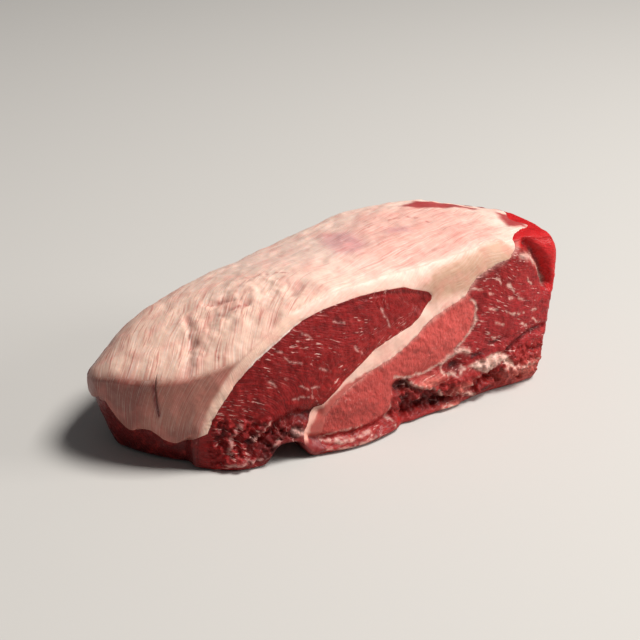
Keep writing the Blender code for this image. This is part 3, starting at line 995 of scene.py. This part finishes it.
# The fibres slope one way over the muscle and another beside the seam, in degrees.
CAP_SLOPES = (-17, 36)
FLECKS_SHOW = 0.8
x, y, z = wavy_points[near].T
slope = mix(*CAP_SLOPES, np.exp(-((from_seam / 16) ** 2)))
off_cut = np.stack([z, x * 0.6 + y * 0.8, y * 0], axis=1)
paint(cap, "grain", np.where(cut[:, None] > 0.5, turned(x, z, slope), off_cut))
paint(cap, "marbled", FLECKS_SHOW * cut)

# Raw lean beef: a moist muscle cut across the grain. Its fibres make fine short streaks,
# marbling lies in them as pale flecks, and the wet film on it gives small soft glints.
raw_meat(
    lean,
    "grain",
    masks=("marbled",),
    streaks=(("fibre", 9.0, 0.9, 3.0), ("strip", 8.0, 1.4, 2.0), ("zone", 30.0, 17.0, 1.0)),
    mottles=(("mottle", 0.007, 4.0), ("wet", 0.0022, 3.0)),
    spreads=(
        ("most_fibre", "marbled", 0.16, 0.48, 0.189, 0.42),
        ("fibre_shade", "fibre", 0.52, 0.32, 0.0, "most_fibre"),
        ("light", "mottle", 0.5, 0.72, 0.0, 0.30),
        ("most_deep", "marbled", 0.16, 0.48, 0.2475, 0.55),
        ("deep", "mottle", 0.46, 0.28, 0.0, "most_deep"),
        ("fleck_zone", "zone", 0.44, 0.60, 0.0, "marbled"),
        ("fleck", "strip", 0.60, 0.66, 0.0, "fleck_zone"),
        ("roughness", "wet", 0.35, 0.65, 0.34, 0.60),
    ),
    layers=(
        ("fibre_shade", DARK_RED, 'MULTIPLY'),
        ("light", LIGHT_LEAN, 'MIX'),
        ("deep", DARK_RED, 'MIX'),
        ("fleck", PALE_FLECK, 'MIX'),
    ),
    bump=(0.7, 0.0012, (("wet", 0.8), ("fibre", 1.0))),
    skin={
        "Subsurface Weight": 0.08,
        "Subsurface Radius": (1.0, 0.2, 0.12),
        "Subsurface Scale": 0.004,
        "IOR": 1.36,
        "Specular IOR Level": 0.35,
        "Coat Weight": 0.08,
        "Coat Roughness": 0.12,
    },
)
cap.data.materials.append(lean)
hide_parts("rump_cap_muscle")
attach(cap, "root")

# Rump eye muscle
# The lean below and right of the seam: a rose-coloured muscle, a silver line of sinew, a
# redder muscle right of it, and the torn flaps along the foot where other cuts came off.
eye = cut_from_joint("eye_muscle", ((room_eye, 'INTERSECT'),))
ROSE = "#cb544d"
RIGHT_RED = "#a01e21"
FLAP_RED = "#981d1b"
# The lip's own bright red, made brighter still as painted light.
LIT_BRIGHT_RED = "#c9161a"
SINEW = "#efc6b6"
FLESHY = "#e0786a"
SHADED_ROSE = "#a8403a"
FLESHY_SPOTS = ((150, 30, 14, 4), (240, 12, 18, 7), (173, 3, 9, 2.5), (181, 16, 8, 4))
SHORT_LINE = ((53, 13), (55, 18))
ROSE_MUSCLE = (
    (52, 14), (57, 26), (66, 38), (85, 47), (110, 55), (137, 67), (160, 80), (187, 89), (193, 80),
    (195, 72), (190, 59), (180, 51), (163, 41), (148, 36), (132, 37), (120, 30), (116, 16), (85, 13),
)
SHADY_ROSE = ((57, 14), (60, 32), (78, 43), (112, 50), (120, 32), (114, 16), (85, 13))
SINEW_LINE = (
    (190, 82), (193, 79), (195, 74), (194, 66), (191, 60), (184, 54), (175, 47), (163, 41), (150, 37),
    (132, 37), (122, 40),
)
SKIN_EDGES = (
    ((130, 37), (137, 32), (143, 28), (150, 26), (157, 22), (163, 16), (168, 12), (173, 11)),
    ((190, 16), (196, 20)),
    ((222, 20), (232, 18), (244, 19), (252, 15)),
    ((165, 3), (173, 3), (181, 1)),
    ((180, 10), (188, 9), (197, 4)),
    ((164, 40), (163, 35), (167, 30), (176, 28), (183, 31)),
)
FOLD_LINES = (
    ((54, 11), (66, 9), (80, 7), (98, 8)),
    ((54, 11), (70, 14), (92, 14)),
    ((60, 5), (80, 3), (100, 4)),
    ((118, 22), (114, 12), (120, 6)),
)
RIDGE = ((163, 40), (168, 43), (175, 46), (182, 46), (188, 42))
FAT_SPOT = (
    (186, 31), (195, 33), (205, 34), (218, 34), (224, 30), (229, 25), (230, 19), (226, 21), (220, 26),
    (212, 24), (206, 21), (199, 25),
)
TAB = ((238, 104), (249, 100), (256, 90), (263, 77))
LIP = (
    (222, 120), (230, 112), (245, 107), (252, 101), (257, 92), (262, 84), (266, 70), (275, 66),
    (275, 120), (250, 125),
)
EYE_FLECKS = (
    ((190, 91), (200, 87)), ((222, 87), (228, 80)), ((243, 87), (246, 80)), ((205, 72), (215, 69)),
    ((218, 68), (228, 63)), ((231, 62), (240, 60)), ((247, 61), (252, 59)), ((204, 53), (212, 47)),
    ((249, 53), (258, 46)), ((205, 84), (209, 82)), ((214, 92), (217, 89)), ((232, 74), (238, 72)),
    ((223, 76), (229, 74)), ((212, 59), (219, 56)), ((236, 52), (243, 49)),
)
EYE_HOLLOWS = (
    (126, 31, 7, 4), (148, 13, 15, 5), (131, 18, 5, 7), (175, 35, 6, 4.5), (194, 38, 8, 1.6),
    (212, 44, 9, 1.6), (205, 8, 9, 3), (160, 9, 10, 3),
)
EYE_CREASES = (
    ((259, 41), (250, 42), (243, 41), (236, 38), (224, 32)),
    ((246, 108), (254, 100), (260, 90), (265, 76)),
    ((131, 33), (138, 28), (146, 23), (153, 21), (160, 14), (168, 9)),
)
# The two hidden ends are finished like the cut face: muscles of two reds, with clefts of
# sinew between them and a thin silverskin over part of each.
SILVERSKIN = "#d9a9a2"
END_ROSY = ((44, -6), (41, 22), (48, 54), (80, 64), (110, 58), (110, -6))
BACK_ROSY = ((196, 54), (176, 52), (128, 44), (84, 48), (70, 80), (120, 110), (200, 108), (188, 80))
END_SKIN = ((20, 56), (60, 62), (74, 90), (56, 108), (22, 100))
BACK_SKIN = ((150, 50), (60, 44), (50, 20), (110, 6), (200, 12), (210, 40))
near = nearest_of(eye)
u, v, w = joint_shares[near].T
x, y, z = painted_points[near].T
cut = AT_CUT[near]
right = ON_RIGHT[near]
rear = ON_BACK[near]
broken = step_up(gaps[near] * 2 + 0.75)
rosy = cut * patch(x, z, ROSE_MUSCLE, 3)
# The lip and the top right corner: bright red meat, painted brighter as painted light where light falls.
top_corner = (1 - cut) * step_up((w - 0.92) / 0.06) * step_up((u - 0.7) / 0.1) * step_up((0.62 - v) / 0.2)
lit_red = np.maximum(cut * patch(x, z, LIP, 2), top_corner)
skinned = np.maximum(right * patch(y, z, END_SKIN, 16), rear * patch(x, z, BACK_SKIN, 18))
clefts = np.maximum(right * drawn(y, z, END_CLEFTS, 1.3), rear * drawn(x, z, BACK_CLEFTS, 1.3))
pale_marks = (
    0.85 * drawn(x, z, (SINEW_LINE,), 0.9),
    0.8 * broken * drawn(x, z, SKIN_EDGES, 1.3),
    0.6 * broken * drawn(x, z, FOLD_LINES, 0.9),
    0.75 * drawn(x, z, (RIDGE,), 2.2),
    0.9 * patch(x, z, FAT_SPOT, 2.5),
    0.7 * drawn(x, z, (TAB,), 2.2),
    0.75 * broken * drawn(x, z, EYE_FLECKS, 0.75),
    0.6 * drawn(x, z, (SHORT_LINE,), 1.8),
    0.35 * drawn(x, z, (SEAM_LOWER,), 2.6),
)
eye_layers = (
    (DEEP_RED, 0.8 * cut * step_up((z - 66) / 30) * step_up((x - 185) / 15)),
    (ROSE, rosy),
    (SHADED_ROSE, 0.65 * cut * patch(x, z, SHADY_ROSE, 10)),
    (FLAP_RED, cut * step_up((36 - z) / 6) * (1 - rosy)),
    (FLESHY, 0.85 * cut * hollows(x, z, FLESHY_SPOTS)),
    (DARK_RED, 0.5 * (1 - cut) * step_up((0.9 - w) / 0.2) * step_up((0.3 - u) / 0.1)),
    # Painted light: the lip and the top right corner in a brighter red.
    (LIT_BRIGHT_RED, 0.9 * lit_red),
    (SHADED, 0.9 * cut * hollows(x, z, EYE_HOLLOWS)),
    (SHADED, 0.6 * cut * drawn(x, z, EYE_CREASES, 1.8)),
    (ROSE, 0.45 * right * patch(y, z, END_ROSY, 8)),
    (ROSE, 0.40 * rear * patch(x, z, BACK_ROSY, 8)),
    (DEEP_RED, 0.5 * (right + rear) * step_up((50 - z) / 12)),
    (SILVERSKIN, 0.34 * skinned),
    (SINEW, np.maximum(cut * np.maximum.reduce(pale_marks), 0.7 * broken * clefts)),
)
paint(eye, "tint", coloured(RIGHT_RED, eye_layers))
# The slopes of the fibres in the rose muscle, the flaps and the right muscle, in degrees. The
# rose muscle's are cut shorter than the others.
ROSE_SLOPE, FLAP_SLOPE, RIGHT_SLOPE = 82, 12, -22
FLAPS_BELOW = 34
ROSE_SHORTER = 2.6
x, y, z = wavy_points[near].T
slope = np.where(rosy > 0.5, ROSE_SLOPE, np.where(z < FLAPS_BELOW, FLAP_SLOPE, RIGHT_SLOPE))
off_cut = np.stack([z, x * 0.8 + y * 0.6, y * 0], axis=1)
grain = np.where(cut[:, None] > 0.5, turned(x, z, slope), off_cut)
grain[:, 0] *= np.where(rosy > 0.5, ROSE_SHORTER, 1.0)
paint(eye, "grain", grain)
paint(eye, "marbled", FLECKS_SHOW * cut * (1 - 0.75 * rosy) * (1 - lit_red))
eye.data.materials.append(lean)
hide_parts("rump_eye_muscle")
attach(eye, "root")
for spare in (joint, room_cap, room_eye):
    bpy.data.objects.remove(spare)

# Floor
# A wide sheet of pale matt paper under the joint, with two soft lights on it: a high key light
# and a lower one from the side. The camera stands at the photograph's viewing angle.
FLOOR_GREY = "#cac7c2"
FLOOR_HALF = 3.0
WARM_WHITE = (1.0, 0.975, 0.95)
JOINT_CENTRE = Vector((0, 0, 0.05))
corners = [(x * FLOOR_HALF, y * FLOOR_HALF, 0) for x, y in ((-1, -1), (1, -1), (1, 1), (-1, 1))]
floor_mesh = bpy.data.meshes.new("floor")
floor_mesh.from_pydata(corners, [], [(0, 1, 2, 3)])
floor = bpy.data.objects.new("floor", floor_mesh)
bpy.context.scene.collection.objects.link(floor)
paper = bpy.data.materials.new("matt_paper")
paper.use_nodes = True
paper_skin = paper.node_tree.nodes["Principled BSDF"]
paper_skin.inputs["Base Color"].default_value = tuple(linear(FLOOR_GREY))
paper_skin.inputs["Roughness"].default_value = 0.9
floor_mesh.materials.append(paper)


def soft_light(name, place, size, watts):
    """A square light that faces the joint."""
    data = bpy.data.lights.new(name, 'AREA')
    data.size = size
    data.energy = watts
    data.color = WARM_WHITE
    lamp = bpy.data.objects.new(name, data)
    bpy.context.scene.collection.objects.link(lamp)
    lamp.location = place
    lamp.rotation_euler = (JOINT_CENTRE - Vector(place)).to_track_quat('-Z', 'Y').to_euler()


soft_light("key", (1.05, -0.9, 2.67), size=1.1, watts=105)
soft_light("side", (1.9, -1.5, 1.0), size=0.9, watts=26)
world = bpy.data.worlds.new("studio")
bpy.context.scene.world = world
world.use_nodes = True
sky = world.node_tree.nodes["Background"]
sky.inputs["Color"].default_value = (0.85, 0.87, 0.9, 1)
sky.inputs["Strength"].default_value = 0.12
bpy.context.scene.view_settings.view_transform = 'Standard'

CAMERA_PLACE = np.array((-430.5, -768.3, 522.9))
CAMERA_TURN = np.radians((65, 0, -32.77))
camera_data = bpy.data.cameras.new("camera")
camera_data.lens = 85
camera_data.sensor_width = 36
camera = bpy.data.objects.new("camera", camera_data)
bpy.context.scene.collection.objects.link(camera)
camera.location = (CAMERA_PLACE - MIDDLE) * MM
camera.rotation_euler = CAMERA_TURN
bpy.context.scene.camera = camera
